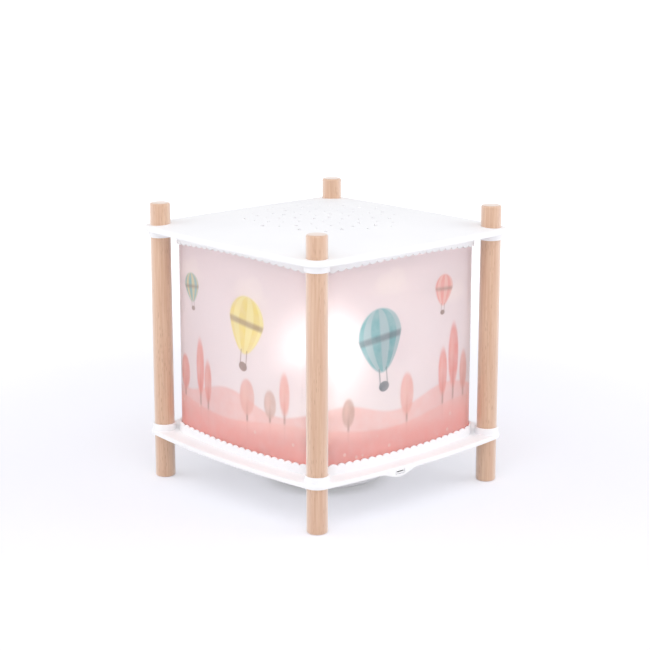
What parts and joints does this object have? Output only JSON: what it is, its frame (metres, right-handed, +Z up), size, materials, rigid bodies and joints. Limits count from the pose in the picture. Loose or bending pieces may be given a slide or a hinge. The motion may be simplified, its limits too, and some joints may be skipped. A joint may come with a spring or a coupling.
{
  "type": "lantern night light",
  "caption": "Free-standing lantern night light: domed roof with star holes and a glowing printed screen on wooden corner posts, with a motor-turned picture drum inside.",
  "frame": {"origin": "on the floor under the middle of the lantern, between the posts' feet", "axes": "+Z up; +X towards the side with the charging socket, so the corner post at +X, -Y faces the picture's camera"},
  "size_m": [0.17, 0.17, 0.176],
  "materials": {
    "beech": "sanded, clear matt",
    "white_plastic": "satin moulded",
    "screen_film": "frosted, printed",
    "drum_print": "frosted, printed",
    "frosted_globe": "frosted",
    "nylon": "moulded",
    "steel": "zinc plated",
    "brass": "machined",
    "circuit_board": "solder mask",
    "white_board": "solder mask",
    "led_lens": "clear",
    "battery_wrap": "shrink sleeve",
    "black_plastic": "moulded",
    "red_lead": "insulation",
    "blue_lead": "insulation",
    "yellow_lead": "insulation"
  },
  "bodies": {
    "lantern": {"post_front": "beech", "post_right": "beech", "post_back": "beech", "post_left": "beech", "roof_shell": "white_plastic", "base_plate": "white_plastic", "housing": "white_plastic", "channel_cover": "white_plastic", "outer_screen": "screen_film", "lamp_globe": "frosted_globe", "light_column": "nylon", "thrust_washer": "nylon", "gearbox": "nylon", "column_screws": "steel", "turntable_clip": "steel", "motor_can": "steel", "motor_screws": "steel", "housing_screws": "steel", "board_screws": "steel", "charging_socket": "steel", "channel_screw": "steel", "control_board": "circuit_board", "socket_board": "circuit_board", "led_board": "white_board", "leds": "led_lens", "battery_cell": "battery_wrap", "slide_switch": "black_plastic", "led_lead": "red_lead", "battery_lead": "red_lead", "charging_lead": "red_lead", "motor_lead": "blue_lead", "switch_lead": "yellow_lead"},
    "drum": {"turntable": "nylon", "drum_film": "drum_print", "drum_hoop": "white_plastic"},
    "motor_pinion": {"pinion": "brass", "motor_shaft": "steel"},
    "switch": {"switch_knob": "white_plastic"}
  },
  "joints": [
    {"name": "drum_turn", "type": "hinge", "parent": "lantern", "child": "drum", "pos_m": [0, 0, 0], "axis": [0, 0, 1], "continuous": true},
    {"name": "pinion_turn", "type": "hinge", "parent": "lantern", "child": "motor_pinion", "pos_m": [0, 0.0256, 0], "axis": [0, 0, 1], "continuous": true},
    {"name": "switch_slide", "type": "slide", "parent": "lantern", "child": "switch", "axis": [0, 1, 0], "range_m": [-0.002, 0.002]}
  ],
  "couplings": [
    {"joint": "pinion_turn", "follows": "drum_turn", "ratio": -3}
  ]
}
